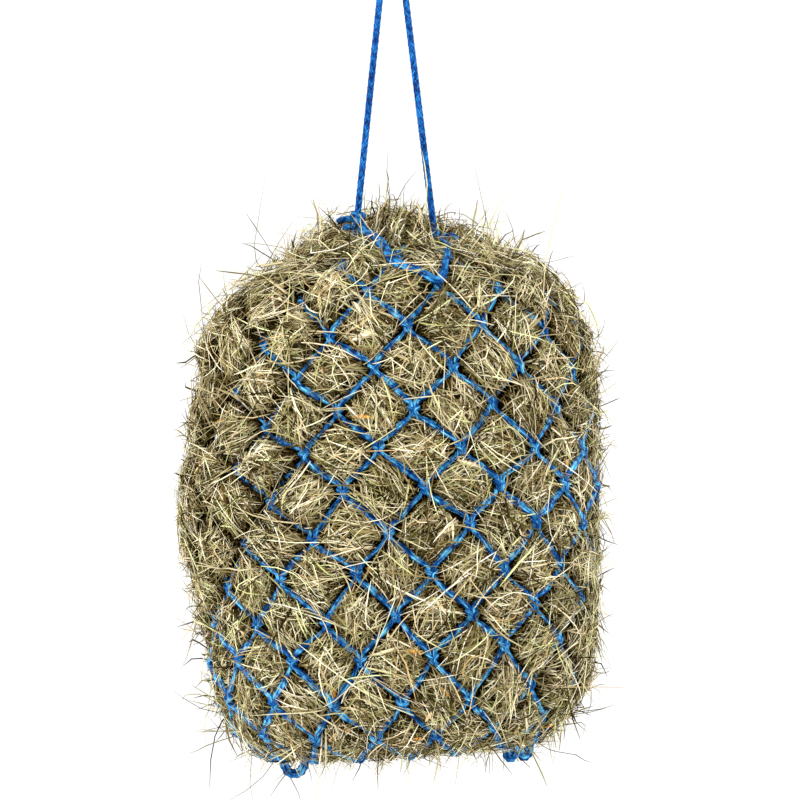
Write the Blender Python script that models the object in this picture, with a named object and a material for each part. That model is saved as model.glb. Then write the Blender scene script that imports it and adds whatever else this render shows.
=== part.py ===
"""Hay net: a knotted diamond-mesh bag, stuffed with hay, hanging from the loop of its drawcord.

Metres, +Z up. The front of the net faces -Y. The origin is the point where the bight of the
drawcord rests on the hook that holds the net up, so everything else lies below it.

The net is a tube of MESHES_AROUND meshes, closed to a seam at the bottom and gathered on the
drawcord at the mouth. Its knots lie on a lattice: a row is half a mesh high, a column is half a
mesh wide, and there is a knot wherever row + column is even. Every other lattice place is the
middle of a mesh, where the hay bulges out.
"""
import math
import random

import bmesh
import bpy
from mathutils import Matrix, Vector

# Driving dimensions of the net.
MESHES_AROUND = 14
FIRST_ROW = -7
LAST_ROW = 8
TWINE_RADIUS = 0.00275
SELVEDGE_RADIUS = 0.0034
CENTRE_X = 0.0045
TILT = 0.074
RIM_TILT = -0.10
SQUARENESS = 0.06
KNOT_JITTER = 0.045
JITTER_SEED = 11

# Shape of the full bag: row, half width, half depth, height, and how much lower its sides hang.
BAG_OUTLINE = (
    (-7, 0.036, 0.030, -0.224, 0.000),
    (-6, 0.108, 0.072, -0.240, 0.024),
    (-5, 0.136, 0.102, -0.266, 0.023),
    (-4, 0.149, 0.124, -0.298, 0.020),
    (-2, 0.158, 0.140, -0.368, 0.015),
    (0, 0.164, 0.144, -0.437, 0.009),
    (2, 0.159, 0.142, -0.509, 0.003),
    (4, 0.154, 0.137, -0.581, -0.005),
    (5, 0.149, 0.128, -0.619, -0.009),
    (6, 0.135, 0.106, -0.649, -0.009),
    (7, 0.112, 0.062, -0.668, -0.004),
    (8, 0.092, 0.014, -0.658, 0.000),
)

# Twist of the lattice about the bag's axis, in radians, as a polynomial of row / 6.
TWIST = (0.154, 0.137, -0.032)

# The meshes crowd towards the front, more so lower down, and the foot of the bag leans to the right.
CROWDING = 0.17
BOTTOM_LEAN = 0.0066
LEAN_FROM_ROW = 3

# How the hay lies against the net: sunk under the cords, bulging in each mesh, domed in the mouth.
HAY_UNDER_KNOTS = -0.0110
HAY_BULGE_SHARE = 0.125
HAY_SHOULDER = -0.204
HAY_SHOULDER_SHARE = 0.5
HAY_TOP = -0.192
HAY_BOTTOM = -0.652

# How the twine of neighbouring courses interlocks at a knot.
BEND_OVERLAP = 0.07
BEND_HALF_WIDTH = 0.07
BEND_CLEARANCE = 0.0013
TIGHT_TURN_CLEARANCE = 0.0009

# The drawcord: a loop over the hook, reeved round the mouth, tied off at its left exit.
CORD_RADIUS = 0.003
BIGHT_RADIUS = 0.011
BIGHT_LEG_END = -0.009
RUN_TOP = -0.0148
LEFT_EXIT = Vector((-0.0306, 0.0, -0.1935))
RIGHT_EXIT = Vector((0.0365, 0.0, -0.2110))
CORD_GAP = 0.0003
CORD_SIDES = 10
BIGHT_ARC_STEPS = 10
RUN_POINTS = 8
MOUTH_ROW = -6.88
MOUTH_LIFT = 0.0085
MOUTH_RUN_REACH = math.radians(75)
MOUTH_RUN_STEPS = 12

# The front run dips down the shoulder of the bag and back up: row, angle in degrees, lift.
FRONT_RUN_START = Vector((-0.0300, -0.0100, -0.2040))
FRONT_RUN_END = Vector((0.0372, -0.0090, -0.2175))
FRONT_RUN = (
    (-7.0, -46, 0.0085),
    (-6.35, -10, 0.0120),
    (-5.5, -1, 0.0125),
    (-5.2, 7, 0.0125),
    (-4.9, 14, 0.0130),
    (-5.5, 18, 0.0125),
    (-6.0, 22, 0.0134),
    (-6.85, 46, 0.0100),
)
FRONT_RUN_STEPS = 3

LEFT_KNOT_SIZE = (0.0075, 0.0058, 0.0085)
LEFT_KNOT_DROP = 0.0097
RIGHT_KNOT_SIZE = (0.0055, 0.0044, 0.0044)
RIGHT_KNOT_DROP = 0.0056
TAIL_LENGTH = 0.010
TAIL_POINTS = 3
TAIL_LEAN = (-1.0, -0.15, -0.2)

# The bottom seam and its two corner loops.
LACING_REACH = 0.066
LACING_SWING = 0.005
LACING_POINTS = 15
CORNER_LOOP_RADIUS = 0.0068
CORNER_LOOP_DROP = 0.0192
CORNER_LOOP_POINTS = 14

COLUMNS = 2 * MESHES_AROUND
KNOT_RING_SIDES = 12
KNOT_RINGS = 8
TWINE_SIDES = 6
THIN_CORD_SIDES = 8

# How far to either side a slope of the bag's surface is measured, in rows or radians.
SLOPE_STEP = 0.05


def clear_scene():
    """Start from an empty scene."""
    for obj in list(bpy.data.objects):
        bpy.data.objects.remove(obj, do_unlink=True)


def make_material(name, colour, roughness):
    """A plain Principled material."""
    material = bpy.data.materials.new(name)
    material.use_nodes = True
    shader = material.node_tree.nodes["Principled BSDF"]
    shader.inputs["Base Color"].default_value = (*colour, 1.0)
    shader.inputs["Roughness"].default_value = roughness
    shader.inputs["Metallic"].default_value = 0.0
    return material


def outline_at(row):
    """The bag's outline at any row, on a smooth curve through the points of BAG_OUTLINE."""
    last = len(BAG_OUTLINE) - 1
    index = 0
    while index < last - 1 and BAG_OUTLINE[index + 1][0] <= row:
        index += 1
    before = BAG_OUTLINE[max(index - 1, 0)]
    start = BAG_OUTLINE[index]
    end = BAG_OUTLINE[index + 1]
    after = BAG_OUTLINE[min(index + 2, last)]
    span = end[0] - start[0]
    t = (row - start[0]) / span
    values = []
    for k in range(1, 5):
        slope_in = (end[k] - before[k]) / (end[0] - before[0]) * span
        slope_out = (after[k] - start[k]) / (after[0] - start[0]) * span
        values.append(
            (2 * t**3 - 3 * t**2 + 1) * start[k]
            + (t**3 - 2 * t**2 + t) * slope_in
            + (3 * t**2 - 2 * t**3) * end[k]
            + (t**3 - t**2) * slope_out
        )
    return values


def tilt_at(row):
    """Rows rise to the right, except that the mouth's rim falls to the right."""
    near_rim = max(0.0, min(1.0, FIRST_ROW + 1 - row))
    return TILT + (RIM_TILT - TILT) * near_rim


def middle_at(row):
    """How far right of the origin the bag's middle is at a row."""
    share = max(0.0, (row - LEAN_FROM_ROW) / (LAST_ROW - LEAN_FROM_ROW))
    return CENTRE_X + BOTTOM_LEAN * share**2


def bag_surface(row, angle):
    """A point of the net's surface. The angle runs from the front, positive to the right."""
    width, depth, height, side_drop = outline_at(row)
    side = math.sin(angle)
    x = middle_at(row) + width * (side + SQUARENESS * side**3)
    y = -depth * math.cos(angle)
    z = height + tilt_at(row) * x - side_drop * side**2
    return Vector((x, y, z))


def lattice_angle(row, column):
    """The angle of a lattice place about the bag's axis."""
    turn = row / 6
    even = column * math.pi / MESHES_AROUND + TWIST[0] + TWIST[1] * turn + TWIST[2] * turn**2
    down = (row - FIRST_ROW) / (LAST_ROW - FIRST_ROW)
    return even - CROWDING * down * math.sin(even)


def outward(row, angle):
    """The outward normal of the bag's surface."""
    low = max(FIRST_ROW, row - SLOPE_STEP)
    high = min(LAST_ROW, row + SLOPE_STEP)
    down = bag_surface(high, angle) - bag_surface(low, angle)
    round_bag = bag_surface(row, angle + SLOPE_STEP) - bag_surface(row, angle - SLOPE_STEP)
    return down.cross(round_bag).normalized()


def make_jitter():
    """Small uneven shifts of each lattice place, as a hand-filled net has."""
    source = random.Random(JITTER_SEED)
    shifts = {}
    for row in range(FIRST_ROW, LAST_ROW + 1):
        inside = FIRST_ROW < row < LAST_ROW
        for column in range(COLUMNS):
            shift = (source.uniform(-1, 1), source.uniform(-1, 1))
            amount = KNOT_JITTER if inside else 0.0
            shifts[row, column] = (2 * amount * shift[0], 2 * amount * shift[1])
    return shifts


JITTER = make_jitter()


def net_point(row, column, lift, row_shift=0.0, column_shift=0.0):
    """A point near lattice place (row, column), lifted off the net's surface."""
    jitter_row, jitter_column = JITTER[row, column % COLUMNS]
    place_row = row + row_shift + jitter_row
    angle = lattice_angle(row, column + column_shift + jitter_column)
    surface_row = max(FIRST_ROW, min(LAST_ROW, place_row))
    beyond = place_row - surface_row
    point = bag_surface(surface_row, angle)
    if beyond:
        inner = surface_row - math.copysign(SLOPE_STEP, beyond)
        point += (point - bag_surface(inner, angle)) * abs(beyond) / SLOPE_STEP
    return point + outward(surface_row, angle) * lift


def tube(name, points, radius, material, closed=False, sides=TWINE_SIDES):
    """A plain round cord along straight stretches between points."""
    curve = bpy.data.curves.new(name, "CURVE")
    curve.dimensions = "3D"
    curve.bevel_depth = radius
    curve.bevel_resolution = (sides - 4) // 2
    curve.render_resolution_u = 0
    curve.use_fill_caps = not closed
    spline = curve.splines.new("POLY")
    spline.points.add(len(points) - 1)
    for target, point in zip(spline.points, points):
        target.co = (*point, 1.0)
    spline.use_cyclic_u = closed
    obj = bpy.data.objects.new(name, curve)
    curve.materials.append(material)
    bpy.context.collection.objects.link(obj)
    return obj


def lump(name, centre, size, material):
    """A knot's plain envelope: a squashed ball."""
    mesh = bpy.data.meshes.new(name)
    shape = bmesh.new()
    scale = Matrix.Diagonal((*size, 1.0))
    sides = KNOT_RING_SIDES
    bmesh.ops.create_uvsphere(shape, u_segments=sides, v_segments=KNOT_RINGS, radius=1.0, matrix=scale)
    shape.to_mesh(mesh)
    shape.free()
    mesh.materials.append(material)
    obj = bpy.data.objects.new(name, mesh)
    obj.location = centre
    bpy.context.collection.objects.link(obj)
    return obj


def bend_clearance(row):
    """How far bends stand apart at a knot: more where the bag turns in to its mouth or seam."""
    return BEND_CLEARANCE + TIGHT_TURN_CLEARANCE * max(0, FIRST_ROW + 3 - row, row - LAST_ROW + 3)


def net_course(name, upper_row, radius, material):
    """One course of the net: a zigzag ring of twine between two rows of knots."""
    points = []
    for column in range(upper_row % 2, COLUMNS + upper_row % 2):
        is_upper = (upper_row + column) % 2 == 0
        row = upper_row if is_upper else upper_row + 1
        side = -1 if is_upper else 1
        lift = radius + bend_clearance(row)
        for half in (-BEND_HALF_WIDTH, BEND_HALF_WIDTH):
            points.append(net_point(row, column, side * lift, side * BEND_OVERLAP, half))
    return tube(name, points, radius, material, closed=True)


def hay_bulge(row, column):
    """How far the hay bulges out of a mesh: in proportion to the mesh's width."""
    angle = lattice_angle(row, column)
    half_mesh = math.pi / MESHES_AROUND
    width = bag_surface(row, angle + half_mesh) - bag_surface(row, angle - half_mesh)
    return HAY_BULGE_SHARE * width.length


def hay_lift(row, column):
    """How far the hay's surface stands off the net's at a lattice place."""
    is_knot = (row + column) % 2 == 0
    if is_knot:
        return HAY_UNDER_KNOTS - 2 * bend_clearance(row)
    return hay_bulge(row, column)


def hay_fill(material):
    """The packed hay: sunk under every cord, bulging out in the middle of every mesh."""
    shape = bmesh.new()
    places = {}
    for row in range(FIRST_ROW, LAST_ROW + 1):
        at_end = row in (FIRST_ROW, LAST_ROW)
        for column in range(COLUMNS):
            is_knot = (row + column) % 2 == 0
            if is_knot or not at_end:
                spot = net_point(row, column, hay_lift(row, column))
                places[row, column] = shape.verts.new(spot)

    def face(*corners):
        shape.faces.new([places[row, column % COLUMNS] for row, column in corners])

    for row in range(FIRST_ROW + 1, LAST_ROW):
        for column in range((row + 1) % 2, COLUMNS, 2):
            middle = (row, column)
            corners = [(row - 1, column), (row, column + 1), (row + 1, column), (row, column - 1)]
            for first, second in zip(corners, corners[1:] + corners[:1]):
                face(middle, first, second)
    for row, inward in ((FIRST_ROW, 1), (LAST_ROW, -1)):
        for column in range((row + 1) % 2, COLUMNS, 2):
            face((row, column - 1), (row, column + 1), (row + inward, column))
    mouth = [places[FIRST_ROW, column] for column in range(FIRST_ROW % 2, COLUMNS, 2)]
    seam = [places[LAST_ROW, column] for column in range(LAST_ROW % 2, COLUMNS, 2)]
    cap_ring(shape, domed_ring(shape, mouth), Vector((CENTRE_X, 0.0, HAY_TOP)))
    cap_ring(shape, seam, Vector((middle_at(LAST_ROW), 0.0, HAY_BOTTOM)))
    bmesh.ops.recalc_face_normals(shape, faces=shape.faces)
    mesh = bpy.data.meshes.new("hay_fill")
    shape.to_mesh(mesh)
    shape.free()
    mesh.materials.append(material)
    obj = bpy.data.objects.new("hay_fill", mesh)
    bpy.context.collection.objects.link(obj)
    return obj


def domed_ring(shape, ring):
    """Step in from the mouth's ring of vertices to a smaller ring near the top of the dome."""
    middle = Vector((CENTRE_X, 0.0, HAY_SHOULDER))
    inner = []
    for corner in ring:
        aside = (corner.co - middle) * HAY_SHOULDER_SHARE
        inner.append(shape.verts.new(middle + Vector((aside.x, aside.y, 0.0))))
    for k in range(len(ring)):
        shape.faces.new([ring[k - 1], ring[k], inner[k], inner[k - 1]])
    return inner


def cap_ring(shape, ring, point):
    """Close a ring of vertices with a fan to a point on the bag's axis."""
    middle = shape.verts.new(point)
    for k in range(len(ring)):
        shape.faces.new([ring[k - 1], ring[k], middle])


def run_between(start, end, count):
    """Evenly spaced points along a straight stretch."""
    return [start.lerp(end, k / (count - 1)) for k in range(count)]


def drawcord(material):
    """The drawcord in its stretches: bight, two hanging runs, and a run round each side of the mouth.

    Each hanging run starts a little below the bight, where the cord bends as the net swings.
    """
    centre = Vector((0.0, 0.0, CORD_RADIUS - BIGHT_RADIUS))
    left_leg = centre + Vector((-BIGHT_RADIUS, 0.0, 0.0))
    right_leg = centre + Vector((BIGHT_RADIUS, 0.0, 0.0))
    left_end = leg_point(left_leg, LEFT_EXIT, BIGHT_LEG_END)
    right_end = leg_point(right_leg, RIGHT_EXIT, BIGHT_LEG_END)
    arc = []
    for k in range(BIGHT_ARC_STEPS + 1):
        angle = math.pi * (1 - k / BIGHT_ARC_STEPS)
        arc.append(centre + BIGHT_RADIUS * Vector((math.cos(angle), 0.0, math.sin(angle))))
    tube("drawcord_bight", [left_end, *arc, right_end], CORD_RADIUS, material, sides=CORD_SIDES)
    for name, leg, leave in (("left", left_leg, LEFT_EXIT), ("right", right_leg, RIGHT_EXIT)):
        points = run_between(leg_point(leg, leave, RUN_TOP), leave, RUN_POINTS)
        tube(f"drawcord_{name}_run", points, CORD_RADIUS, material, sides=CORD_SIDES)
    back = [(MOUTH_ROW, math.pi + MOUTH_RUN_REACH * (2 * k / MOUTH_RUN_STEPS - 1), MOUTH_LIFT)
            for k in range(MOUTH_RUN_STEPS + 1)]
    points = [bag_surface(row, angle) + outward(row, angle) * lift for row, angle, lift in back]
    tube("drawcord_mouth_back", points, CORD_RADIUS, material, sides=THIN_CORD_SIDES)
    points = [bag_surface(row, math.radians(angle)) + outward(row, math.radians(angle)) * lift
              for row, angle, lift in FRONT_RUN]
    points = smooth_run([FRONT_RUN_START, *points, FRONT_RUN_END], FRONT_RUN_STEPS)
    tube("drawcord_mouth_front", points, CORD_RADIUS, material, sides=THIN_CORD_SIDES)


def smooth_run(points, steps):
    """A smooth curve through points, with this many steps between neighbours."""
    padded = [2 * points[0] - points[1], *points, 2 * points[-1] - points[-2]]
    curve = []
    for a, b, c, d in zip(padded, padded[1:], padded[2:], padded[3:]):
        for k in range(steps):
            t = k / steps
            curve.append(0.5 * (2 * b + (c - a) * t + (2 * a - 5 * b + 4 * c - d) * t**2
                                + (3 * b - a - 3 * c + d) * t**3))
    curve.append(points[-1])
    return curve


def leg_point(start, end, height):
    """The point at a height on the straight line from start to end."""
    return start.lerp(end, (height - start.z) / (end.z - start.z))


def drawcord_knots(material):
    """The knots at the two exits and the short tail of the left one."""
    left = LEFT_EXIT - Vector((0.0, 0.0, LEFT_KNOT_DROP))
    right = RIGHT_EXIT - Vector((0.0, 0.0, RIGHT_KNOT_DROP))
    lump("drawcord_left_knot", left, LEFT_KNOT_SIZE, material)
    lump("drawcord_right_knot", right, RIGHT_KNOT_SIZE, material)
    start = left - Vector((LEFT_KNOT_SIZE[0] + CORD_GAP, 0.0, 0.0))
    end = start + TAIL_LENGTH * Vector(TAIL_LEAN)
    tube("drawcord_tail", run_between(start, end, TAIL_POINTS), TWINE_RADIUS, material, sides=THIN_CORD_SIDES)


def bottom_seam(material):
    """The lacing that closes the bottom, and the loop left at each of its corners."""
    seam_height = BAG_OUTLINE[-1][3]
    points = []
    for k in range(LACING_POINTS):
        along = 2 * k / (LACING_POINTS - 1) - 1
        x = middle_at(LAST_ROW) + along * LACING_REACH
        y = LACING_SWING * (1 if k % 2 else -1) * math.sqrt(1 - along**2)
        points.append(Vector((x, y, seam_height + TILT * x)))
    tube("bottom_lacing", points, TWINE_RADIUS, material)
    for name, angle in (("left", -math.pi / 2), ("right", math.pi / 2)):
        corner = bag_surface(LAST_ROW, angle)
        centre = corner - Vector((0.0, 0.0, CORNER_LOOP_DROP))
        loop = []
        for k in range(CORNER_LOOP_POINTS):
            turn = 2 * math.pi * k / CORNER_LOOP_POINTS
            loop.append(centre + CORNER_LOOP_RADIUS * Vector((math.cos(turn), 0.0, math.sin(turn))))
        tube(f"corner_loop_{name}", loop, TWINE_RADIUS, material, closed=True)


def build():
    """Make every sub-part."""
    clear_scene()
    twine = make_material("twine_blue", (0.01, 0.12, 0.55), 0.45)
    cord = make_material("drawcord_blue", (0.01, 0.14, 0.60), 0.40)
    hay = make_material("hay", (0.42, 0.35, 0.17), 0.85)
    hay_fill(hay)
    for row in range(FIRST_ROW, LAST_ROW):
        is_selvedge = row == FIRST_ROW
        name = "selvedge_course" if is_selvedge else f"net_course_{row - FIRST_ROW:02d}"
        net_course(name, row, SELVEDGE_RADIUS if is_selvedge else TWINE_RADIUS, twine)
    bottom_seam(twine)
    drawcord(cord)
    drawcord_knots(cord)


build()
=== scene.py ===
"""Looks for the hay net: plaited blue twine knotted round by round, a plaited drawcord, and hay.

Metres, +Z up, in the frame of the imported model. The origin is where the drawcord's bight hangs on
its hook. The front of the net faces -Y.

The net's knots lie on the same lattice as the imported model's: a row is half a mesh high, a column is
half a mesh wide, there is a knot wherever row + column is even, and every other lattice place is the
middle of a mesh.
"""
import math
import random

import bpy
import numpy as np
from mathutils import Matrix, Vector


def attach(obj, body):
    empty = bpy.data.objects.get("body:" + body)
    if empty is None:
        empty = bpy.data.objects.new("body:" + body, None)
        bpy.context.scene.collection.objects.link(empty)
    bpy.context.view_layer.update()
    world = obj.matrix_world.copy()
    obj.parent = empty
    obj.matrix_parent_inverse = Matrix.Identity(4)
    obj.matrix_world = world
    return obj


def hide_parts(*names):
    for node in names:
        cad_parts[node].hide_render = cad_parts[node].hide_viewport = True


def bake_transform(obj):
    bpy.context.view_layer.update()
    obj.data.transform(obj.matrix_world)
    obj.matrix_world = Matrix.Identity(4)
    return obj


# The net's lattice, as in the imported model.
MESHES_AROUND = 14
COLUMNS = 2 * MESHES_AROUND
FIRST_ROW = -7
LAST_ROW = 8
CENTRE_X = 0.0045
TILT = 0.074
RIM_TILT = -0.10
SQUARENESS = 0.06
KNOT_JITTER = 0.045
JITTER_SEED = 11
BAG_OUTLINE = (
    (-7, 0.036, 0.030, -0.224, 0.000),
    (-6, 0.108, 0.072, -0.240, 0.024),
    (-5, 0.136, 0.102, -0.266, 0.023),
    (-4, 0.149, 0.124, -0.298, 0.020),
    (-2, 0.158, 0.140, -0.368, 0.015),
    (0, 0.164, 0.144, -0.437, 0.009),
    (2, 0.159, 0.142, -0.509, 0.003),
    (4, 0.154, 0.137, -0.581, -0.005),
    (5, 0.149, 0.128, -0.619, -0.009),
    (6, 0.135, 0.106, -0.649, -0.009),
    (7, 0.112, 0.062, -0.668, -0.004),
    (8, 0.092, 0.014, -0.658, 0.000),
)
TWIST = (0.154, 0.137, -0.032)
CROWDING = 0.17
BOTTOM_LEAN = 0.0066
LEAN_FROM_ROW = 3

# A slope of the surface is read this far to either side of a place, in rows, columns or radians.
SLOPE_STEP = 0.05
HAY_SLOPE_STEP = 0.06
SPACING_STEP = 0.02

# The drawcord's route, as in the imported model.
CORD_DIAMETER = 0.006
BIGHT_RADIUS = 0.011
LEFT_EXIT = Vector((-0.0306, 0.0, -0.1935))
RIGHT_EXIT = Vector((0.0365, 0.0, -0.2110))

# The twine: plaited flat, tighter where it is drawn up in a knot.
TWINE_WIDTH = 0.0072
TWINE_THICKNESS = 0.0036
KNOT_TWINE = 0.0038
TWINE_SIDES = 20
STEADINESS = 0.35
SELVEDGE_SCALE = 1.45
BAR_STEPS = 9
BAR_BOW = 0.0007
BAR_WAVE = 0.0004
BAR_ROLL = 0.35
EASING_WINDOW = 7
WAVER = 0.08
WAVER_WEIGHT = 1 / 3
TWINE_STRANDS = 6
STRAND_RIDGE = 0.10
STRAND_DRIFT = 0.12
BRAID_PACE = 1.1
COURSE_SEED = 100

# The drawcord: eight flat strands plaited round, over and under by turns.
PLAIT_TURN = 0.0276
PLAIT_RADIUS = 0.00215
PLAIT_LIFT = 0.00030
STRAND_WIDTH = 0.0029
STRAND_THICKNESS = 0.0012
STRAND_SIDES = 8
STRANDS_EACH_WAY = 4
PLAIT_STEP = 0.0008
COARSE_STEP = 0.012
GAP_STEP = 0.006
EXIT_KNOT_CORD = 0.0052
EXIT_KNOT_SWELL = 1.20
EXIT_KNOT_LOOPS = 1.6
EXIT_KNOT_DEPTH = 0.75
EXIT_KNOT_STEPS = 72
FRONT_PAIR_GAP = 0.0019
FRONT_CORD_WIDTH = 0.0040
FRONT_CORD_THICKNESS = 0.0036
FRONT_SPREAD = ((0, 0.12, 0.35, 0.6, 0.7, 1), (0.6, 1, 1, 0.9, 0.3, 0.2))
FRONT_BULK = ((0, 0.3, 0.6, 0.8, 1), (1.45, 1.25, 1.0, 0.7, 0.65))
CORD_INTO_KNOT = 0.005

# The cord reeved through the mouth, the seam's lacing and the corner eyes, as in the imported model.
MOUTH_ROW = -6.88
MOUTH_LIFT = 0.0085
MOUTH_STEPS = 130
MOUTH_RUN_REACH = math.radians(75)
FRONT_RUN_START = (-0.0300, -0.0100, -0.2040)
FRONT_RUN_END = (0.0372, -0.0090, -0.2175)
FRONT_RUN = (
    (-7.0, -46, 0.0085), (-6.35, -10, 0.0120), (-5.5, -1, 0.0125), (-5.2, 7, 0.0125),
    (-4.9, 14, 0.0130), (-5.5, 18, 0.0125), (-6.0, 22, 0.0134), (-6.85, 46, 0.0100),
)
FRONT_RUN_STEPS = 10
LACING_REACH = 0.066
LACING_SWING = 0.005
LACING_POINTS = 15
CORNER_LOOP_RADIUS = 0.0068
CORNER_LOOP_DROP = 0.0192
LEFT_KNOT_SIZE = (0.0075, 0.0058, 0.0085)
LEFT_KNOT_DROP = 0.0097
RIGHT_KNOT_SIZE = (0.0055, 0.0044, 0.0044)
RIGHT_KNOT_DROP = 0.0056
TAIL_LENGTH = 0.010
TAIL_INTO_KNOT = 0.002
TAIL_BOW = 0.001
TAIL_LEAN = (-1.0, -0.15, -0.2)

# The hay: how far it lies under the cords and stands out of each mesh, and how many stalks.
HAY_UNDER_CORDS = -0.0046
HAY_IN_MESH = 0.0055
END_FULLNESS = 0.35
PILLOW_POWER = 0.38
TOP_ROWS = 2.0
FOOT_ROWS = 2.4
DOME_RISE = 0.010
CROWN_RISE = 0.023
CROWN_FROM_ROW = -6.1
CROWN_ROWS = 0.9
CROWN_FRONT = 0.06
CROWN_MIDDLE = 0.35
CROWN_BACK_ROWS = 0.4
CROWN_FRONT_SHARE = 0.75
CROWN_BACK_EXTRA = 0.40
CROWN_SHOULDER_LOSS = 0.65
SHOULDER_FROM = 0.045
SHOULDER_WIDTH = 0.060
CORD_CLEAR = 0.009
CORD_CLEAR_FADE = 0.014
CLEAR_BEHIND_CORD = 0.010
CLEAR_BELOW_EXIT = 0.018
CLEAR_AHEAD_OF_EXIT = (0.0, 0.012, 0.024)
CORE_DEPTH = 0.0065
CORE_RINGS = 137
CORE_PER_COLUMN = 8
CORE_ROUGHNESS = 0.0012

# Stalks are cut short this close to a cord and start this clear of one. The deep ones, near the cords, get
# painted shade.
DIVE_AT = 0.20
START_ABOVE = 0.24
SHADE_FROM = 0.35
SHADE_TO = 0.70

# How unlike each other a layer's stalks are, and what they are drawn from.
LENGTH_SPREAD = 0.35
HEADING_SPREAD = 0.75
WIDTH_SPREAD = 0.3
BENDS = (0.9, 1.6)
FLATNESS_RANGE = (0.7, 1.3)
STALK_TAPER = ((0, 0.15, 0.75, 1), (0.75, 1.0, 0.85, 0.25))
TUFT_SEED = 77
TUFT_TABLE = 32
LEAST_ROW_HEIGHT = 0.012
LEAST_COLUMN_WIDTH = 0.006

# How far a stray stalk may reach, and how clear it keeps of the drawcord's hanging runs.
WISP_REACH_X = 0.196
WISP_REACH_Y = 0.168
WISP_BOTTOM = -0.7205
CORD_GAP = 0.009

# The camera stands far off, level with the middle of the bag.
CAMERA_DISTANCE = 4.5
CAMERA_X = 0.0064
CAMERA_Z = -0.3612
VIEW_WIDTH = 0.688
SENSOR_WIDTH = 36.0
SUBJECT_DEPTH = -0.07


# ---------------------------------------------------------------- the bag's surface

def outline_at(row):
    """The bag's outline at any row, on a smooth curve through the points of BAG_OUTLINE."""
    last = len(BAG_OUTLINE) - 1
    index = 0
    while index < last - 1 and BAG_OUTLINE[index + 1][0] <= row:
        index += 1
    around = (max(index - 1, 0), index, index + 1, min(index + 2, last))
    before, start, end, after = (BAG_OUTLINE[k] for k in around)
    span = end[0] - start[0]
    t = (row - start[0]) / span
    values = []
    for k in range(1, 5):
        slope_in = (end[k] - before[k]) / (end[0] - before[0]) * span
        slope_out = (after[k] - start[k]) / (after[0] - start[0]) * span
        values.append(
            (2 * t**3 - 3 * t**2 + 1) * start[k]
            + (t**3 - 2 * t**2 + t) * slope_in
            + (3 * t**2 - 2 * t**3) * end[k]
            + (t**3 - t**2) * slope_out
        )
    return values


FINE_ROWS = np.linspace(FIRST_ROW, LAST_ROW, 901)
FINE_OUTLINE = np.array([outline_at(row) for row in FINE_ROWS])


def middle_at(rows):
    """How far right of the origin the bag's middle is at each row."""
    return CENTRE_X + BOTTOM_LEAN * np.clip((rows - LEAN_FROM_ROW) / (LAST_ROW - LEAN_FROM_ROW), 0, 1)**2


def bag_surface(rows, angles):
    """Points of the net's surface. Angles run from the front, positive to the right."""
    rows = np.clip(rows, FIRST_ROW, LAST_ROW)
    width, depth, height, side_drop = (np.interp(rows, FINE_ROWS, column) for column in FINE_OUTLINE.T)
    side = np.sin(angles)
    x = middle_at(rows) + width * (side + SQUARENESS * side**3)
    y = -depth * np.cos(angles)
    tilt = TILT + (RIM_TILT - TILT) * np.clip(FIRST_ROW + 1 - rows, 0, 1)
    z = height + tilt * x - side_drop * side**2
    return np.stack([x, y, z], axis=-1)


def lattice_angle(rows, columns):
    """The angle of a lattice place about the bag's axis."""
    turn = rows / 6
    even = columns * math.pi / MESHES_AROUND + TWIST[0] + TWIST[1] * turn + TWIST[2] * turn**2
    down = (rows - FIRST_ROW) / (LAST_ROW - FIRST_ROW)
    return even - CROWDING * down * np.sin(even)


def unit(vectors):
    """The vectors at length 1."""
    return vectors / np.maximum(np.linalg.norm(vectors, axis=-1, keepdims=True), 1e-12)


def surface_frame(rows, angles):
    """Points of the bag's surface, with the directions to the right, downward and outward."""
    down = bag_surface(rows + SLOPE_STEP, angles) - bag_surface(rows - SLOPE_STEP, angles)
    right = unit(bag_surface(rows, angles + SLOPE_STEP) - bag_surface(rows, angles - SLOPE_STEP))
    out = unit(np.cross(down, right))
    return bag_surface(rows, angles), right, np.cross(right, out), out


def make_jitter():
    """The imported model's small uneven shift of each lattice place, in rows and columns."""
    source = random.Random(JITTER_SEED)
    shifts = np.zeros((LAST_ROW - FIRST_ROW + 1, COLUMNS, 2))
    for row in range(FIRST_ROW, LAST_ROW + 1):
        amount = 2 * KNOT_JITTER if FIRST_ROW < row < LAST_ROW else 0.0
        for column in range(COLUMNS):
            first = source.uniform(-1, 1)
            second = source.uniform(-1, 1)
            shifts[row - FIRST_ROW, column] = (amount * first, amount * second)
    return shifts


JITTER = make_jitter()


def shifted(rows, columns):
    """The row and column, with its jitter, of each whole-number lattice place."""
    shift = JITTER[rows - FIRST_ROW, columns % COLUMNS]
    return rows + shift[..., 0], columns + shift[..., 1]


# ---------------------------------------------------------------- mesh tools

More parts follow.
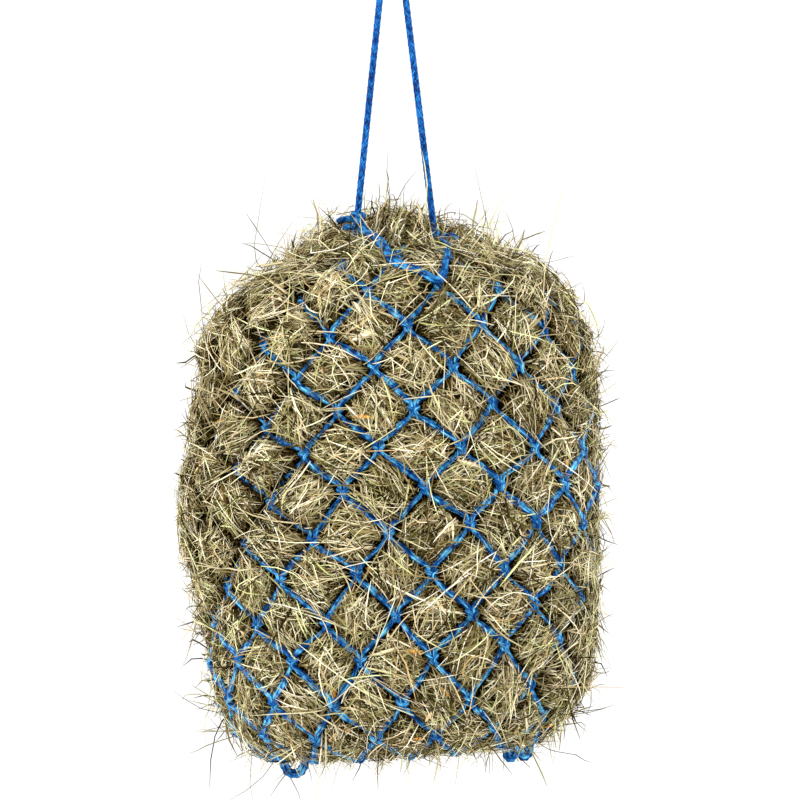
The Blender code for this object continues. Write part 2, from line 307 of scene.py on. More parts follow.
def new_mesh(name, points, faces, material, attributes=None):
    """A smooth mesh object from arrays of points and of three- and four-cornered faces."""
    mesh = bpy.data.meshes.new(name)
    corners = np.concatenate([np.asarray(group).ravel() for group in faces])
    sizes = np.concatenate([np.full(len(group), np.shape(group)[1]) for group in faces])
    starts = np.concatenate([[0], np.cumsum(sizes)[:-1]])
    mesh.vertices.add(len(points))
    mesh.vertices.foreach_set("co", np.asarray(points, np.float32).ravel())
    mesh.loops.add(len(corners))
    mesh.loops.foreach_set("vertex_index", corners.astype(np.int32))
    mesh.polygons.add(len(sizes))
    mesh.polygons.foreach_set("loop_start", starts.astype(np.int32))
    mesh.polygons.foreach_set("use_smooth", np.ones(len(sizes), bool))
    for key, values in (attributes or {}).items():
        values = np.asarray(values, np.float32)
        kind = "FLOAT_VECTOR" if values.ndim == 2 else "FLOAT"
        field = "vector" if values.ndim == 2 else "value"
        mesh.attributes.new(key, kind, "POINT").data.foreach_set(field, values.ravel())
    mesh.update(calc_edges=True)
    mesh.materials.append(material)
    obj = bpy.data.objects.new(name, mesh)
    bpy.context.collection.objects.link(obj)
    return obj


def smooth_path(points, steps):
    """A Catmull-Rom curve through points, with this many steps between neighbours."""
    points = np.asarray(points, float)
    ends = [2 * points[0] - points[1], 2 * points[-1] - points[-2]]
    padded = np.concatenate([[ends[0]], points, [ends[1]]])
    curve = []
    for k in range(len(points) - 1):
        a, b, c, d = padded[k:k + 4]
        for t in np.arange(steps) / steps:
            curve.append(
                0.5 * (2 * b + (c - a) * t + (2 * a - 5 * b + 4 * c - d) * t**2
                       + (3 * b - a - 3 * c + d) * t**3)
            )
    curve.append(points[-1])
    return np.array(curve)


def tangents(path, closed=False):
    """Directions along a path."""
    if closed:
        return unit(np.roll(path, -1, axis=-2) - np.roll(path, 1, axis=-2))
    return unit(np.gradient(path, axis=-2))


def steady_across(ahead, facing, closed):
    """Sideways directions for a tube's flat sides that never jump: a half turn counts as no turn."""
    aim = np.cross(ahead, facing)
    across = np.empty_like(aim)
    last = unit(aim[0])
    for k in range(len(aim)):
        this = aim[k] if aim[k] @ last >= 0 else -aim[k]
        mixed = this + STEADINESS * last
        mixed -= (mixed @ ahead[k]) * ahead[k]
        last = unit(mixed)
        across[k] = last
    return across, closed and across[-1] @ across[0] < 0


def ring_quads(count, sides, closed=False, half_turn=False):
    """Faces between rings of points. A closed tube's last ring meets the first, half a turn on if told."""
    k = np.arange(count if closed else count - 1)[:, None]
    j = np.arange(sides)[None, :]
    following = (k + 1) % count
    skip = np.where((following == 0) & half_turn, sides // 2, 0)
    corners = (k * sides + j, k * sides + (j + 1) % sides,
               following * sides + (j + 1 + skip) % sides, following * sides + (j + skip) % sides)
    return np.stack(np.broadcast_arrays(*corners), axis=-1).reshape(-1, 4)


def sweep(path, facing, half_width, half_thickness, sides, closed=False, ridge=None):
    """A tube round each path: points, four-cornered faces, end faces, and place along and around.

    facing says which way the tube's flat side looks, at each point of the path. ridge, if given,
    takes the angle round the tube and the index along it, and returns how far it swells there.
    """
    count = len(path)
    ahead = tangents(path, closed)
    across, half_turn = steady_across(ahead, facing, closed)
    outward = np.cross(across, ahead)
    turn = 2 * math.pi * np.arange(sides) / sides - math.pi / 2
    swell = np.ones((count, sides)) if ridge is None else ridge(turn[None, :], np.arange(count)[:, None])
    wide = (np.cos(turn)[None, :] * swell * np.reshape(half_width, (-1, 1)))[..., None]
    thick = (np.sin(turn)[None, :] * swell * np.reshape(half_thickness, (-1, 1)))[..., None]
    points = path[:, None, :] + wide * across[:, None, :] + thick * outward[:, None, :]
    quads = ring_quads(count, sides, closed, half_turn)
    lengths = np.linalg.norm(np.diff(path, axis=0), axis=1)
    along = np.repeat(np.concatenate([[0], np.cumsum(lengths)]), sides)
    around = np.tile(np.arange(sides) / sides, count)
    caps = []
    if not closed:
        caps = [np.arange(sides)[::-1], (count - 1) * sides + np.arange(sides)]
    return points.reshape(-1, 3), quads, caps, along, around


class Batch:
    """Collects swept tubes into one mesh."""

    def __init__(self):
        self.points = []
        self.quads = []
        self.caps = []
        self.weave = []
        self.count = 0

    def add(self, tube, seed):
        """Take in one tube. seed tells its twine from the others in the material."""
        points, quads, caps, along, around = tube
        self.points.append(points)
        self.quads.append(quads + self.count)
        for cap in caps:
            self.caps.append([cap + self.count])
        self.weave.append(np.stack([along, around, np.full(len(along), seed)], axis=-1))
        self.count += len(points)

    def build(self, name, material):
        """The mesh object of everything added."""
        faces = [np.concatenate(self.quads)] + [np.array(cap) for cap in self.caps]
        weave = np.concatenate(self.weave)
        return new_mesh(name, np.concatenate(self.points), faces, material, {"weave": weave})


# ---------------------------------------------------------------- materials

# The dark, the middle and the bright blue of each cord, and where along the mottling each one lies. The
# middle blue is the cord's own; the dark and bright blues spread by the mottling are painted shade and
# painted highlights.
NET_BLUES = ((0.001, 0.012, 0.07), (0.001, 0.092, 0.36), (0.17, 0.65, 0.96))
CORD_BLUES = ((0.001, 0.014, 0.09), (0.001, 0.070, 0.33), (0.02, 0.26, 0.72))
# The knots, the tail and the doubled front run of the drawcord get a darker blue: painted shade.
PAINTED_SHADE_BLUES = ((0.001, 0.012, 0.06), (0.001, 0.075, 0.29), (0.06, 0.36, 0.70))
BLUE_PLACES = (0.40, 0.49, 0.61)
# Stalks from the darkest to the palest, the tints among them, and the shade deep in the bag.
STRAW = (
    (0.00, (0.018, 0.012, 0.004)),
    (0.15, (0.052, 0.040, 0.013)),
    (0.32, (0.150, 0.115, 0.045)),
    (0.50, (0.345, 0.285, 0.140)),
    (0.72, (0.680, 0.600, 0.380)),
    (1.00, (1.000, 0.950, 0.780)),
)
TINTS = (
    (0.00, (0.88, 1.00, 0.66)),
    (0.10, (0.94, 1.00, 0.84)),
    (0.30, (1.00, 1.00, 1.00)),
    (0.60, (1.00, 0.96, 0.88)),
    (0.85, (1.00, 0.90, 0.78)),
    (0.95, (0.95, 0.72, 0.52)),
    (0.985, (1.00, 0.55, 0.18)),
)
DEPTH_SHADE = (
    (0.00, (0.035, 0.023, 0.006)),
    (0.50, (0.205, 0.150, 0.062)),
    (1.00, (1.000, 1.000, 1.000)),
)
# The hay's heart, painted near-black for the shade down between the stalks.
CORE_PAINTED_SHADES = ((0.25, (0.012, 0.009, 0.004)), (0.55, (0.05, 0.036, 0.012)), (0.8, (0.14, 0.10, 0.035)))


class Look:
    """A Principled material, with short ways to add nodes to it. Most return the node's output."""

    def __init__(self, name, roughness=0.5, specular=0.5):
        self.material = bpy.data.materials.new(name)
        self.material.use_nodes = True
        self.tree = self.material.node_tree
        self.inputs = self.tree.nodes["Principled BSDF"].inputs
        self.inputs["Roughness"].default_value = roughness
        self.inputs["Specular IOR Level"].default_value = specular

    def node(self, kind, links, settings):
        """A node with its settings, and with outputs linked into its inputs."""
        node = self.tree.nodes.new(kind)
        for key, value in settings.items():
            if isinstance(key, int) or key in node.inputs:
                node.inputs[key].default_value = value
            else:
                setattr(node, key, value)
        for key, output in links.items():
            self.use(node.inputs[key], output)
        return node

    def use(self, target, output):
        """Link an output into an input: the shader's, where it is given by name."""
        self.tree.links.new(output, self.inputs[target] if isinstance(target, str) else target)

    def attribute(self, name):
        """A mesh attribute's vector."""
        return self.node("ShaderNodeAttribute", {}, {"attribute_name": name}).outputs["Vector"]

    def place(self):
        """Places in the object's own space."""
        return self.node("ShaderNodeTexCoord", {}, {}).outputs["Object"]

    def parts(self, vector):
        """The three parts of a vector, by name."""
        return self.node("ShaderNodeSeparateXYZ", {0: vector}, {}).outputs

    def stretched(self, vector, scale):
        """A vector times a scale along each axis."""
        settings = {"operation": "MULTIPLY", 1: scale}
        return self.node("ShaderNodeVectorMath", {0: vector}, settings).outputs[0]

    def noise(self, vector, **settings):
        """Cloudy noise."""
        return self.node("ShaderNodeTexNoise", {"Vector": vector}, settings).outputs["Fac"]

    def math(self, operation, first):
        """One number worked out from another."""
        return self.node("ShaderNodeMath", {0: first}, {"operation": operation}).outputs[0]

    def ranged(self, value, low, high):
        """A value from 0 to 1 carried to the range from low to high."""
        settings = {"To Min": low, "To Max": high}
        return self.node("ShaderNodeMapRange", {"Value": value}, settings).outputs["Result"]

    def mean(self, first, second):
        """Halfway between two numbers."""
        settings = {"data_type": "FLOAT", "Factor": 0.5}
        return self.node("ShaderNodeMix", {"A": first, "B": second}, settings).outputs["Result"]

    def product(self, first, second):
        """Two colours multiplied."""
        settings = {"data_type": "RGBA", "blend_type": "MULTIPLY", "Factor": 1.0}
        return self.node("ShaderNodeMix", {"A": first, "B": second}, settings).outputs["Result"]

    def ramp(self, value, stops, interpolation="LINEAR"):
        """A colour looked up among (place, (r, g, b)) stops."""
        node = self.node("ShaderNodeValToRGB", {"Fac": value}, {})
        node.color_ramp.interpolation = interpolation
        elements = node.color_ramp.elements
        while len(elements) < len(stops):
            elements.new(0.5)
        for element, (place, colour) in zip(elements, stops):
            element.position = place
            element.color = (*colour, 1.0)
        return node.outputs["Color"]

    def bump(self, height, strength, distance):
        """Small relief in the shader's normals."""
        settings = {"Strength": strength, "Distance": distance}
        self.use("Normal", self.node("ShaderNodeBump", {"Height": height}, settings).outputs["Normal"])


def twine_material(name, blues, strands, fibre_scale):
    """Plaited film twine: fine fibres along it with painted shade and painted highlights in their mottling, a
    painted-shade line between strands, glints on the film.
    """
    look = Look(name, specular=0.06)
    weave = look.attribute("weave")
    lengthwise = look.stretched(weave, (90.0, fibre_scale, 37.0))
    fibres = look.noise(lengthwise, Scale=1.0, Detail=5.0, Roughness=0.65)
    patches = look.noise(look.stretched(weave, (150.0, 2.5, 11.0)), Scale=1.0, Detail=2.0)
    # The mottling's dark and bright ends are painted shade and painted highlights on the fibres.
    colours = look.ramp(look.mean(fibres, patches), tuple(zip(BLUE_PLACES, blues)))
    # A darker line between the strands: painted shade.
    around = look.parts(look.stretched(weave, (1.0, strands * math.pi, 1.0)))["Y"]
    painted_groove_shade = look.math("ABSOLUTE", look.math("SINE", around))
    look.use("Base Color", look.product(colours, look.ranged(painted_groove_shade, 0.30, 1.0)))
    look.use("Roughness", look.ranged(fibres, 0.28, 0.60))
    look.bump(fibres, 0.8, 0.0006)
    return look.material


def hay_material():
    """Dry stalks: each has its own tone, mottled along its length, with painted shade deep in the bag."""
    look = Look("hay_stalks", roughness=0.62, specular=0.0)
    stalk = look.parts(look.attribute("stalk"))
    mottle = look.noise(look.place(), Scale=160.0, Detail=3.0, Roughness=0.6)
    links = {0: stalk["X"], 1: look.ranged(mottle, -0.10, 0.10)}
    tone = look.node("ShaderNodeMath", links, {"operation": "ADD"}).outputs[0]
    tinted = look.product(look.ramp(tone, STRAW), look.ramp(stalk["Z"], TINTS, "CONSTANT"))
    look.use("Base Color", look.product(tinted, look.ramp(stalk["Y"], DEPTH_SHADE)))
    look.bump(mottle, 0.35, 0.0003)
    return look.material


def core_material():
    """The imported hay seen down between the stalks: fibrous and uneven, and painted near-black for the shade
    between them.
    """
    look = Look("hay_core", roughness=0.9, specular=0.0)
    place = look.place()
    warp = look.noise(place, Scale=30.0, Detail=3.0)
    settings = {"Scale": 260.0, "Distortion": 14.0, "Detail": 4.0, "Detail Scale": 1.4}
    stalks = look.node("ShaderNodeTexWave", {"Vector": place}, settings).outputs["Fac"]
    both = look.mean(warp, stalks)
    look.use("Base Color", look.ramp(both, CORE_PAINTED_SHADES))
    look.bump(both, 1.0, 0.002)
    return look.material


# ---------------------------------------------------------------- the net

# A knot, in millimetres from its place in the net: right, down, out. The bight is the bend of the
# course above. The hitch is the bend of the course below, through the bight, round its neck and out.
BIGHT = ((-3.6, -8.0, 0.2), (-2.5, -4.5, 0.6), (-2.1, -0.5, 1.0), (-1.8, 3.0, 1.0), (-0.9, 4.9, 0.9),
         (0.9, 4.9, 0.9), (1.8, 3.0, 1.0), (2.1, -0.5, 1.0), (2.5, -4.5, 0.6), (3.6, -8.0, 0.2))
HITCH = ((-5.0, 8.0, -0.2), (-3.6, 5.6, -1.4), (-1.6, 3.6, -2.1), (-0.4, 1.6, -0.6), (-0.8, 0.2, 2.4),
         (-2.8, -0.8, 3.2), (-4.5, -1.8, 1.7), (-4.5, -2.9, -0.6), (-2.2, -3.5, -2.4), (0.6, -3.5, -2.8),
         (3.5, -3.0, -2.0), (4.7, -1.9, 0.3), (3.8, -0.4, 2.6), (1.8, 1.0, 3.7), (1.4, 3.0, 3.6),
         (2.8, 5.6, 2.0), (4.6, 8.0, 0.5))
# The loop of the top course round the drawcord, which lies this far out and down from the rim.
RIM_LOOP = ((-2.6, 17.0, 2.6), (-2.3, 11.5, 6.5), (-2.0, 9.8, 11.4), (-1.4, 5.0, 14.2), (-0.6, 0.2, 11.6),
            (0.4, 0.0, 5.6), (1.4, 5.0, 2.8), (2.4, 11.0, 2.2), (3.0, 17.0, 1.6))
# The bend of the top course in front, where the drawcord runs lower and the hay covers the rim.
RIM_BEND = ((-4.0, 15.0, 0.0), (-2.8, 9.0, -0.5), (-1.8, 5.0, -1.0), (0.0, 3.4, -1.0), (1.8, 5.0, -1.0),
            (2.8, 9.0, -0.5), (4.0, 15.0, 0.0))
FRONT_REACH = 1.15
KNOT_SCALE = 0.00088
RIM_SCALE = 0.001


def knot_points(shape, scale, row, column, wide):
    """A knot's path in space, and which way its twine's flat side looks."""
    rows, columns = shifted(np.array(row), np.array(column))
    centre, right, down, out = surface_frame(rows, lattice_angle(rows, columns))
    local = smooth_path(np.array(shape) * scale, 2)
    path = centre + local[:, :1] * right * wide + local[:, 1:2] * down + local[:, 2:] * out
    facing = np.broadcast_to(out, path.shape).copy()
    if shape is not BIGHT:
        aside = local[:, :1] * right + (local[:, 2:] + 0.4 * scale) * out
        facing = unit(facing * 0.25 + unit(aside))
    return path, facing


def bar_points(start, end, start_facing, end_facing, chance):
    """A bar of the net between two knots: nearly straight, with its flat side rolling a little."""
    t = np.linspace(0, 1, BAR_STEPS + 2)[1:-1, None]
    across = unit(np.cross(end - start, start_facing + end_facing))
    wander = chance.normal(0, BAR_BOW) * np.sin(math.pi * t)
    wander = wander + chance.normal(0, BAR_WAVE) * np.sin(2 * math.pi * t)
    path = start + (end - start) * t + across * wander
    facing = unit(start_facing * (1 - t) + end_facing * t)
    roll = chance.normal(0, BAR_ROLL) * np.sin(math.pi * t)
    facing = unit(facing * np.cos(roll) + across * np.sin(roll))
    return path, facing


def course_path(upper_row, chance):
    """One course's closed path with its facing, and 1 on bars or 0 in knots along it."""
    stretches = []
    for column in range(upper_row % 2, COLUMNS + upper_row % 2):
        is_upper = (upper_row + column) % 2 == 0
        if is_upper and upper_row == FIRST_ROW:
            in_front = math.cos(float(lattice_angle(upper_row, column))) > math.cos(FRONT_REACH)
            shape = RIM_BEND if in_front else RIM_LOOP
            stretches.append(knot_points(shape, RIM_SCALE, upper_row, column, 1.0))
        elif is_upper:
            stretches.append(knot_points(HITCH, KNOT_SCALE, upper_row, column, 1.0))
        else:
            stretches.append(knot_points(BIGHT, KNOT_SCALE, upper_row + 1, column, 1.0))
    path, facing, on_bar = [], [], []
    for k, (points, sides) in enumerate(stretches):
        path.append(points)
        facing.append(sides)
        on_bar.append(np.zeros(len(points)))
        following, following_sides = stretches[(k + 1) % len(stretches)]
        bar, bar_facing = bar_points(points[-1], following[0], sides[-1], following_sides[0], chance)
        path.append(bar)
        facing.append(bar_facing)
        on_bar.append(np.ones(len(bar)))
    return np.concatenate(path), np.concatenate(facing), np.concatenate(on_bar)


def net_course(name, upper_row, material):
    """One course of the net, as a single closed length of twine."""
    chance = np.random.default_rng(COURSE_SEED + upper_row)
    path, facing, on_bar = course_path(upper_row, chance)
    window = np.ones(EASING_WINDOW)
    reach = EASING_WINDOW // 2
    easing = np.convolve(np.pad(on_bar, reach, mode="wrap"), window / EASING_WINDOW, "valid")
    selvedge = SELVEDGE_SCALE if upper_row == FIRST_ROW else 1.0
    uneven = np.pad(chance.normal(size=len(path)), reach, mode="wrap")
    waver = 1 + WAVER * np.convolve(uneven, WAVER_WEIGHT * window, "valid")
    half_width = 0.5 * selvedge * (KNOT_TWINE + (TWINE_WIDTH - KNOT_TWINE) * easing) * waver
    half_thickness = 0.5 * selvedge**0.5 * (KNOT_TWINE + (TWINE_THICKNESS - KNOT_TWINE) * easing)
    drift = np.cumsum(chance.normal(0, STRAND_DRIFT, len(path)))
    drift -= np.linspace(0, drift[-1], len(path))

    def ridge(turn, index):
        return 1 + STRAND_RIDGE * np.cos(TWINE_STRANDS * turn + drift[index])

    batch = Batch()
    batch.add(sweep(path, facing, half_width, half_thickness, TWINE_SIDES, True, ridge), upper_row * 0.37)
    finish_piece(batch, f"twine_{name}", name, material)


def exit_knot(name, cad_name, centre, size, material, seed):
    """A knot in the drawcord: an overhand knot's three crossing turns, pulled up tight."""
    t = np.linspace(0, 2 * math.pi, EXIT_KNOT_STEPS + 1)[:-1]
    path = np.stack([
        np.sin(t) + EXIT_KNOT_LOOPS * np.sin(2 * t),
        -EXIT_KNOT_DEPTH * np.sin(3 * t),
        np.cos(t) - EXIT_KNOT_LOOPS * np.cos(2 * t),
    ], axis=-1) / (1 + EXIT_KNOT_LOOPS)
    path = np.array(centre) + path * (np.array(size) - 0.5 * CORD_DIAMETER) * EXIT_KNOT_SWELL
    facing = unit(path - np.array(centre))
    batch = Batch()
    half = 0.5 * EXIT_KNOT_CORD
    ridge = braid_ridge(8)
    batch.add(sweep(path, facing, half, half * 0.9, TWINE_SIDES, True, ridge), seed)
    finish_piece(batch, name, cad_name, material)


def braid_ridge(strands):
    """The cross-section of a small round plait."""
    def ridge(turn, index):
        return 1 + STRAND_RIDGE * np.cos(0.5 * strands * turn) * np.cos(BRAID_PACE * index)
    return ridge


def finish_piece(batch, name, cad_name, material):
    """Build the batch's mesh, riding on the bag and standing for its CAD node."""
    piece = batch.build(name, material)
    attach(piece, "bag")
    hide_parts(cad_name)


# ---------------------------------------------------------------- the drawcord

def drawcord_line(step):
    """The drawcord's middle line, from the left exit over the hook to the right exit."""
    centre = Vector((0.0, 0.0, 0.5 * CORD_DIAMETER - BIGHT_RADIUS))
    sunk = Vector((0.0, 0.0, -CORD_INTO_KNOT))
    left = [LEFT_EXIT + sunk, centre - Vector((BIGHT_RADIUS, 0.0, 0.0))]
    right = [centre + Vector((BIGHT_RADIUS, 0.0, 0.0)), RIGHT_EXIT + sunk]
    points = []
    for start, end in (left, right):
        count = round((end - start).length / step)
        run = [start.lerp(end, k / count) for k in range(count + 1)]
        if not points:
            arc_count = round(math.pi * BIGHT_RADIUS / step)
            turns = [math.pi * (1 - k / arc_count) for k in range(1, arc_count)]
            run += [centre + BIGHT_RADIUS * Vector((math.cos(t), 0.0, math.sin(t))) for t in turns]
        points += run
    return np.array(points)


def plait(line, normal, seed, batch):
    """Round plait along a line: strands winding both ways, each over one and under the next."""
    ahead = tangents(line)
    side = unit(np.cross(ahead, normal))
    front = np.cross(side, ahead)
    along = np.concatenate([[0], np.cumsum(np.linalg.norm(np.diff(line, axis=0), axis=1))])
    for way in (1, -1):
        for k in range(STRANDS_EACH_WAY):
            turn = way * 2 * math.pi * along / PLAIT_TURN + 2 * math.pi * k / STRANDS_EACH_WAY
            weave = way * PLAIT_LIFT * np.cos(2 * math.pi * STRANDS_EACH_WAY * along / PLAIT_TURN)
            away = np.cos(turn)[:, None] * side + np.sin(turn)[:, None] * front
            path = line + away * (PLAIT_RADIUS + weave)[:, None]
            strand = sweep(path, away, 0.5 * STRAND_WIDTH, 0.5 * STRAND_THICKNESS, STRAND_SIDES)
            batch.add(strand, seed + k + 0.31 * way)


def drawcord(material):
    """The hanging loop of drawcord: one limp plaited cord that bends just under the hook."""
    line = drawcord_line(PLAIT_STEP)
    batch = Batch()
    plait(line, np.array([0.0, 1.0, 0.0]), 3.0, batch)
    facing = np.broadcast_to([0.0, 1.0, 0.0], line.shape)
    heart = PLAIT_RADIUS - 0.5 * STRAND_THICKNESS
    batch.add(sweep(line, facing, heart, heart, STRAND_SIDES), 9.0)
    piece = batch.build("drawcord_rope", material)
    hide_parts("drawcord_bight", "drawcord_left_run", "drawcord_right_run")
    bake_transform(piece)
    coarse = drawcord_line(COARSE_STEP)


def lifted(rows, angles, lifts):
    """Points this far above the bag's surface, and the outward directions there."""
    points, _, _, out = surface_frame(rows, angles)
    return points + out * np.reshape(lifts, (-1, 1)), out


def front_run():
    """The drawcord's way from its left exit down the front of the shoulder and up to its right exit."""
    rows, degrees, lifts = np.array(FRONT_RUN).T
    points, out = lifted(rows, np.radians(degrees), lifts)
    up = np.array([[0.0, -0.5, 0.8]])
    line = smooth_path(np.concatenate([[FRONT_RUN_START], points, [FRONT_RUN_END]]), FRONT_RUN_STEPS)
    facing = smooth_path(np.concatenate([up, out, up]), FRONT_RUN_STEPS)
    return line, unit(facing)


def mouth_cords(cord, twine):
    """The drawcord where it runs round the mouth: doubled and flattened in front, single behind."""
    angles = math.pi + MOUTH_RUN_REACH * np.linspace(-1, 1, MOUTH_STEPS)
    line, out = lifted(np.full(MOUTH_STEPS, MOUTH_ROW), angles, np.full(MOUTH_STEPS, MOUTH_LIFT))
    batch = Batch()
    plait(line, out, 20.0, batch)
    finish_piece(batch, "mouth_cord_back", "drawcord_mouth_back", cord)
    line, out = front_run()
    part = np.linspace(0, 1, len(line))
    bulk = np.interp(part, *FRONT_BULK)
    gap = FRONT_PAIR_GAP * np.interp(part, *FRONT_SPREAD)
    aside = unit(np.cross(tangents(line), out)) * gap[:, None]
    half_width = 0.5 * FRONT_CORD_WIDTH * bulk
    half_thickness = 0.5 * FRONT_CORD_THICKNESS * bulk
    batch = Batch()
    for side, seed in ((-1, 21.0), (1, 22.5)):
        path = line + side * aside
        batch.add(sweep(path, out, half_width, half_thickness, TWINE_SIDES, False, braid_ridge(6)), seed)
    # The doubled front run takes the darker drawcord material, which holds painted shade.
    finish_piece(batch, "mouth_cord_front", "drawcord_mouth_front", twine)


def exit_knots(material):
    """The knots where the drawcord leaves the mouth, and the left one's cut tail."""
    left = LEFT_EXIT - Vector((0.0, 0.0, LEFT_KNOT_DROP))
    right = RIGHT_EXIT - Vector((0.0, 0.0, RIGHT_KNOT_DROP))
    # The knots and the tail take the darker drawcord material, which holds painted shade.
    exit_knot("knot_left", "drawcord_left_knot", left, LEFT_KNOT_SIZE, material, 31.0)
    exit_knot("knot_right", "drawcord_right_knot", right, RIGHT_KNOT_SIZE, material, 33.0)
    start = left - Vector((LEFT_KNOT_SIZE[0] - TAIL_INTO_KNOT, 0.0, 0.0))
    end = start + (TAIL_LENGTH + TAIL_INTO_KNOT) * Vector(TAIL_LEAN)
    line = smooth_path([start, start.lerp(end, 0.5) + Vector((0.0, 0.0, TAIL_BOW)), end], 12)
    batch = Batch()
    plait(line, np.array([0.0, 1.0, 0.0]), 40.0, batch)
    finish_piece(batch, "tail", "drawcord_tail", material)


# ---------------------------------------------------------------- the bottom seam

# The eye that a corner of the seam is left with, as a share of its radius: a hanging U of twine.
EYE = (
    (-1.9, 0.0, 2.6), (-1.5, 0.0, 1.3), (-1.05, 0.0, 0.1), (-0.6, 0.0, -0.85), (0.1, 0.0, -1.1),
    (0.8, 0.0, -0.75), (1.2, 0.0, 0.2), (1.4, 0.0, 1.4), (1.6, 0.0, 2.6),
)
EYE_TWINE = 1.15
LEFT_EYE = (((0.0, 0.0, 0.0035), 1.15),)
RIGHT_EYE = (((-0.006, -0.002, 0.003), 0.5), ((0.006, 0.002, 0.004), 0.6))


def bottom_seam(material):
    """The lacing through the bottom course and the doubled eyes left at its two corners."""
    seam_height = BAG_OUTLINE[-1][3]
    points = []
    for k in range(LACING_POINTS):
        along = 2 * k / (LACING_POINTS - 1) - 1
        x = float(middle_at(LAST_ROW)) + along * LACING_REACH
        y = LACING_SWING * (1 if k % 2 else -1) * math.sqrt(1 - along**2)
        points.append((x, y, seam_height + TILT * x))
    line = smooth_path(points, 8)
    batch = Batch()
    below = np.broadcast_to([0.0, 0.0, -1.0], line.shape)
    batch.add(sweep(line, below, 0.5 * TWINE_WIDTH, 0.5 * TWINE_THICKNESS, TWINE_SIDES), 51.0)
    finish_piece(batch, "seam_lacing", "bottom_lacing", material)
    for name, angle, loops in (("left", -math.pi / 2, LEFT_EYE), ("right", math.pi / 2, RIGHT_EYE)):
        corner = bag_surface(np.array(float(LAST_ROW)), np.array(angle))
        centre = corner - np.array([0.0, 0.0, CORNER_LOOP_DROP])
        batch = Batch()
        for k, (shift, narrow) in enumerate(loops):
            shape = np.array(EYE) * (narrow * CORNER_LOOP_RADIUS, 0.0, CORNER_LOOP_RADIUS) + shift
            line = smooth_path(centre + shape, 8)
            front = np.broadcast_to([0.0, -1.0, 0.15 * (k + 1)], line.shape)
            wide = 0.5 * EYE_TWINE * TWINE_WIDTH
            thick = 0.5 * EYE_TWINE * TWINE_THICKNESS
            batch.add(sweep(line, front, wide, thick, TWINE_SIDES, False, braid_ridge(6)), 53.0 + k)
        finish_piece(batch, f"corner_eye_{name}", f"corner_loop_{name}", material)


# ---------------------------------------------------------------- the hay

def base_surface(rows, columns):
    """The bag's surface, carried on over the hay in the mouth and under the seam."""
    inside = np.clip(rows, FIRST_ROW, LAST_ROW)
    angles = lattice_angle(inside, columns)
    point = bag_surface(inside, angles)
    over = np.clip((FIRST_ROW - rows) / TOP_ROWS, 0, 1)[..., None]
    crown = np.array([CENTRE_X, 0.0, BAG_OUTLINE[0][3]])
    point = point + (crown - point) * over
    point[..., 2] += DOME_RISE * (1 - (1 - over[..., 0])**2)
    under = np.clip(rows - LAST_ROW, 0, 1)
    point[..., 1] *= 1 - under
    return point


def base_slopes(rows, columns, step):
    """How far it is down and to the right across each place, from a step before to a step after."""
    high = np.clip(rows - step, FIRST_ROW - TOP_ROWS + 0.01, LAST_ROW + 1)
    low = np.clip(rows + step, FIRST_ROW - TOP_ROWS + 0.01, LAST_ROW + 0.99)
    down = base_surface(low, columns) - base_surface(high, columns)
    right = base_surface(rows, columns + step) - base_surface(rows, columns - step)
    return down, right


def pillow(rows, columns):
    """How full the hay stands, and how clear it is of the cords: 0 at a cord, 1 in a mesh's middle."""
    row_index = np.clip(np.floor(rows), FIRST_ROW, LAST_ROW - 1).astype(int)
    column_index = np.floor(columns).astype(int)
    s = np.clip(rows - row_index, 0, 1)[..., None]
    t = (columns - column_index)[..., None]

    def at(row_step, column_step):
        return JITTER[row_index + row_step - FIRST_ROW, (column_index + column_step) % COLUMNS]

    shift = (at(0, 0) * (1 - s) + at(1, 0) * s) * (1 - t) + (at(0, 1) * (1 - s) + at(1, 1) * s) * t
    level_rows = rows - shift[..., 0]
    level_columns = columns - shift[..., 1]
    falling = np.abs(np.sin(0.5 * math.pi * (level_rows + level_columns)))
    rising = np.abs(np.sin(0.5 * math.pi * (level_rows - level_columns)))
    return (falling * rising)**PILLOW_POWER, np.minimum(falling, rising)


def hay_surface(rows, columns, lift=0.0):
    """The hay's surface, this far above or below its usual height."""
    out = unit(np.cross(*base_slopes(rows, columns, HAY_SLOPE_STEP)))
    swell, _ = pillow(rows, columns)
    near_end = np.clip(np.minimum(rows - FIRST_ROW, (LAST_ROW - rows) / FOOT_ROWS), 0, 1)
    in_mesh = HAY_IN_MESH * (END_FULLNESS + (1 - END_FULLNESS) * near_end)
    height = HAY_UNDER_CORDS + (in_mesh - HAY_UNDER_CORDS) * swell * near_end
    point = base_surface(rows, columns)
    height = height + crown(rows, point) + unevenness(rows, columns)
    return point + out * (height + lift)[..., None], out, swell


# Lumps in the sides: left -1 or right 1, the row of the middle, how many rows it reaches, how far out.
LUMPS = (
    (-1, -5.6, 0.5, 0.010), (-1, -4.6, 0.9, 0.013), (-1, -2.6, 0.8, 0.008), (-1, 0.0, 1.6, 0.011),
    (-1, 4.6, 1.8, -0.007), (1, -5.6, 0.7, 0.004), (1, -3.3, 0.7, 0.003), (1, 0.2, 1.3, -0.007),
    (1, 4.6, 1.6, 0.003), (1, 7.0, 0.8, 0.003),
)


def unevenness(rows, columns):
    """How the hay's own lumps push the sides out or leave them slack."""
    side = np.sin(lattice_angle(np.clip(rows, FIRST_ROW, LAST_ROW), columns))
    total = np.zeros(rows.shape)
    for way, row, reach, amount in LUMPS:
        total += amount * np.clip(way * side, 0, 1)**2 * np.exp(-((rows - row) / reach)**2)
    return total


